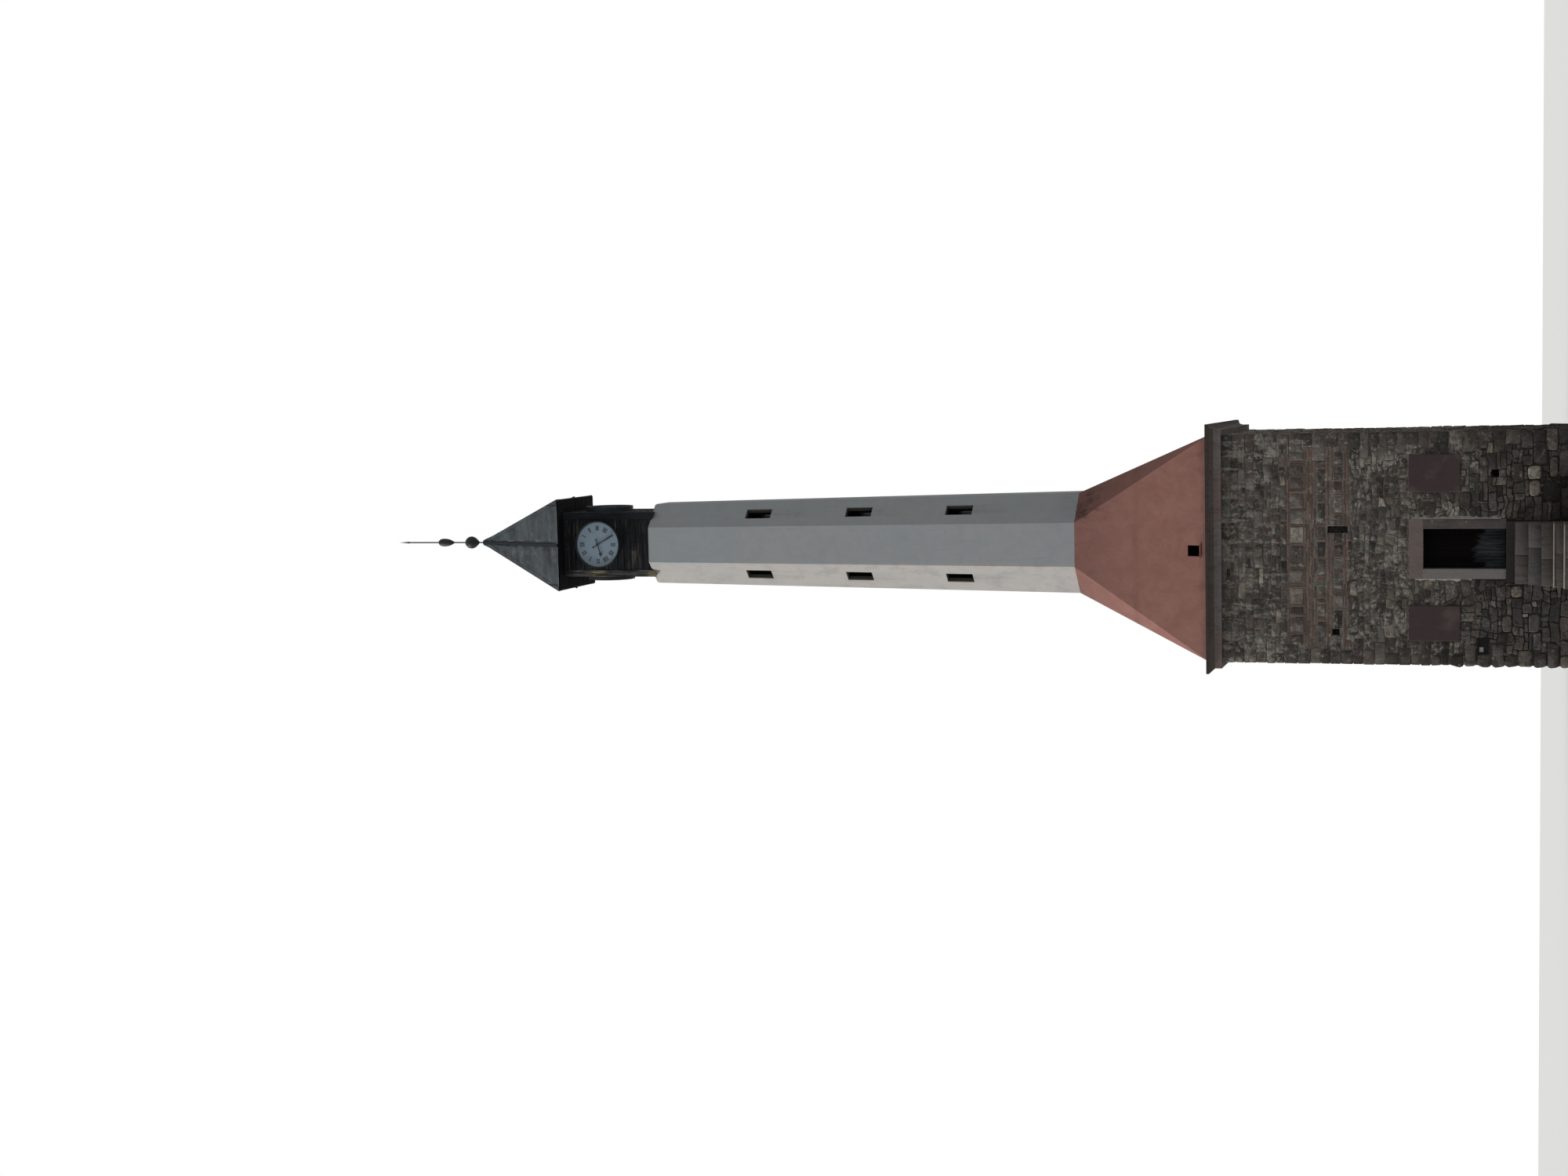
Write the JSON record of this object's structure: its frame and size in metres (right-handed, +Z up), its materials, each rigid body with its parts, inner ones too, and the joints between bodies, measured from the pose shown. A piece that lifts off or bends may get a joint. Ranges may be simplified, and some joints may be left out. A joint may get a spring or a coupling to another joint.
{
  "type": "clock tower",
  "caption": "Stone-footed clock tower with a red pyramid, a pale eight-sided shaft, a timber clock cabin and a steep sheet-metal roof with a finial.",
  "frame": {"origin": "middle of the tower's square foot, at ground level", "axes": "+X to the right seen from the door side, +Y away from the door side, +Z up"},
  "size_m": [5.516, 6.798, 28.9],
  "materials": {
    "foot_masonry": "rubble and brickwork in lime mortar",
    "floor_stone": "worn paving on rubble fill",
    "frame_stone": "dressed stone, weathered",
    "step_stone": "worn dressed stone",
    "plaque_stone": "polished red granite, bare",
    "door_wood": "dark weathered planks",
    "door_iron": "blackened forged iron",
    "cornice_stone": "dressed stone, weathered",
    "cap_stone": "dark weathered capping",
    "red_render": "red lime render, stained",
    "grey_render": "pale grey lime render",
    "cabin_timber": "old dark timber, weathered edges",
    "cabin_boards": "old dark boards",
    "case_metal": "grey painted sheet",
    "dial_enamel": "pale blue-grey enamel",
    "hand_metal": "dark paint",
    "roof_sheet": "weathered grey-green sheet",
    "roof_strip": "dark folded sheet",
    "finial_metal": "dark weathered metal"
  },
  "bodies": {
    "tower": {"back_wall": "foot_masonry", "cabin_boarding": "cabin_boards", "cabin_plates": "cabin_timber", "cabin_posts": "cabin_timber", "cabin_sills": "cabin_timber", "cornice_back": "cornice_stone", "cornice_cap": "cap_stone", "cornice_front": "cornice_stone", "cornice_left": "cornice_stone", "cornice_right": "cornice_stone", "dial_cases": "case_metal", "dial_faces": "dial_enamel", "door_jambs": "frame_stone", "door_lintel": "frame_stone", "door_pintles": "door_iron", "door_threshold": "frame_stone", "finial": "finial_metal", "front_wall_left": "foot_masonry", "front_wall_over_door": "foot_masonry", "front_wall_right": "foot_masonry", "front_wall_under_door": "foot_masonry", "ground_floor": "floor_stone", "hatch_sill": "frame_stone", "left_wall": "foot_masonry", "plaques": "plaque_stone", "pyramid_back": "red_render", "pyramid_front": "red_render", "pyramid_left": "red_render", "pyramid_right": "red_render", "right_wall": "foot_masonry", "roof_slopes": "roof_sheet", "roof_soffit": "cabin_boards", "roof_strips": "roof_strip", "shaft_back": "grey_render", "shaft_back_left": "grey_render", "shaft_back_right": "grey_render", "shaft_deck": "cabin_timber", "shaft_front": "grey_render", "shaft_front_left": "grey_render", "shaft_front_right": "grey_render", "shaft_left": "grey_render", "shaft_right": "grey_render", "step_1": "step_stone", "step_2": "step_stone", "step_3": "step_stone", "step_4": "step_stone", "step_5": "step_stone"},
    "door": {"door_leaf": "door_wood"},
    "minute_front": {"minute_hand_front": "hand_metal"},
    "hour_front": {"hour_hand_front": "hand_metal"},
    "minute_right": {"minute_hand_right": "hand_metal"},
    "hour_right": {"hour_hand_right": "hand_metal"},
    "minute_back": {"minute_hand_back": "hand_metal"},
    "hour_back": {"hour_hand_back": "hand_metal"},
    "minute_left": {"minute_hand_left": "hand_metal"},
    "hour_left": {"hour_hand_left": "hand_metal"}
  },
  "joints": [
    {"name": "door_hinge", "type": "hinge", "parent": "tower", "child": "door", "pos_m": [0.501, -2.16, 2.18], "axis": [0, 0, -1], "range_deg": [0, 95]},
    {"name": "minute_front_turn", "type": "hinge", "parent": "tower", "child": "minute_front", "pos_m": [0, -0.85, 22.92], "axis": [0, 1, 0], "continuous": true},
    {"name": "hour_front_turn", "type": "hinge", "parent": "tower", "child": "hour_front", "pos_m": [0, -0.85, 22.92], "axis": [0, 1, 0], "continuous": true},
    {"name": "minute_right_turn", "type": "hinge", "parent": "tower", "child": "minute_right", "pos_m": [0.85, 0, 22.92], "axis": [-1, 0, 0], "continuous": true},
    {"name": "hour_right_turn", "type": "hinge", "parent": "tower", "child": "hour_right", "pos_m": [0.85, 0, 22.92], "axis": [-1, 0, 0], "continuous": true},
    {"name": "minute_back_turn", "type": "hinge", "parent": "tower", "child": "minute_back", "pos_m": [0, 0.85, 22.92], "axis": [0, -1, 0], "continuous": true},
    {"name": "hour_back_turn", "type": "hinge", "parent": "tower", "child": "hour_back", "pos_m": [0, 0.85, 22.92], "axis": [0, -1, 0], "continuous": true},
    {"name": "minute_left_turn", "type": "hinge", "parent": "tower", "child": "minute_left", "pos_m": [-0.85, 0, 22.92], "axis": [1, 0, 0], "continuous": true},
    {"name": "hour_left_turn", "type": "hinge", "parent": "tower", "child": "hour_left", "pos_m": [-0.85, 0, 22.92], "axis": [1, 0, 0], "continuous": true}
  ],
  "couplings": [
    {"joint": "hour_front_turn", "follows": "minute_front_turn", "ratio": 0.083333},
    {"joint": "minute_right_turn", "follows": "minute_front_turn", "ratio": 1},
    {"joint": "hour_right_turn", "follows": "minute_front_turn", "ratio": 0.083333},
    {"joint": "minute_back_turn", "follows": "minute_front_turn", "ratio": 1},
    {"joint": "hour_back_turn", "follows": "minute_front_turn", "ratio": 0.083333},
    {"joint": "minute_left_turn", "follows": "minute_front_turn", "ratio": 1},
    {"joint": "hour_left_turn", "follows": "minute_front_turn", "ratio": 0.083333}
  ]
}
